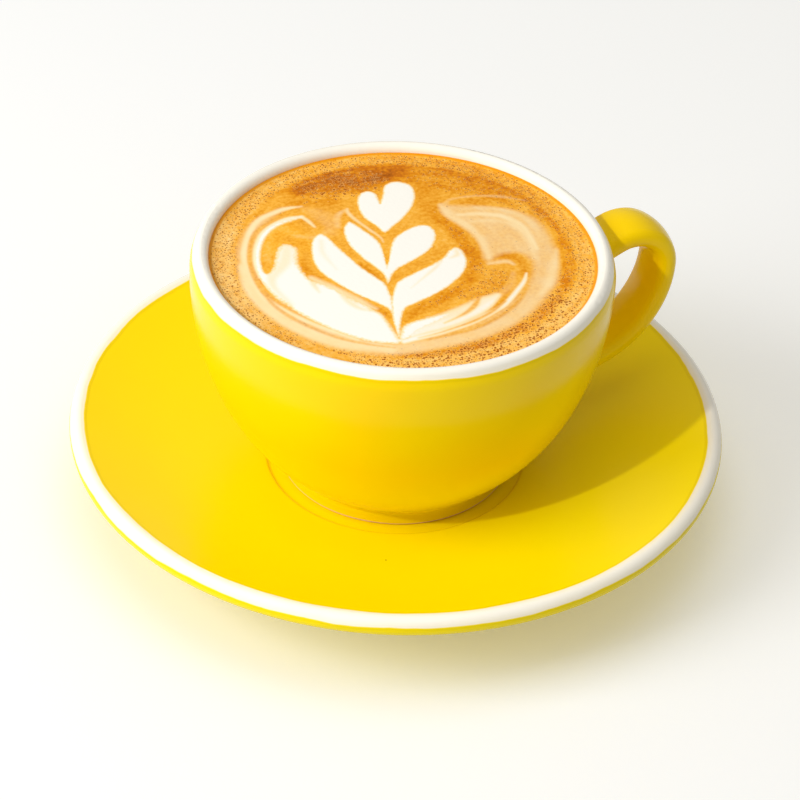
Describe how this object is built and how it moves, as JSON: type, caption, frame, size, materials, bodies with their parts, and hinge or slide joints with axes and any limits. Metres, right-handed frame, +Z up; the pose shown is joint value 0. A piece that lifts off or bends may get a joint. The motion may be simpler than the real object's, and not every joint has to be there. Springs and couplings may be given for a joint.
{
  "type": "cup of cappuccino with saucer",
  "caption": "Bowl-shaped ceramic cup with a strap handle, full of cappuccino with a poured leaf pattern, standing in the well of a wide saucer.",
  "frame": {"origin": "middle of the saucer's foot ring, on the table", "axes": "+Z up, +X towards the handle, Y = 0 is the mirror plane of cup and saucer"},
  "size_m": [0.15, 0.15, 0.065],
  "materials": {
    "saucer_glaze": "glossy yellow glaze with a white band on the lip",
    "cup_glaze": "glossy yellow glaze outside, white glaze over the brim and inside, bare clay under the foot",
    "drink": "fine milk foam over coffee, satin and wet"
  },
  "bodies": {
    "root": {"saucer": "saucer_glaze", "cup": "cup_glaze", "cappuccino": "drink"}
  },
  "joints": []
}
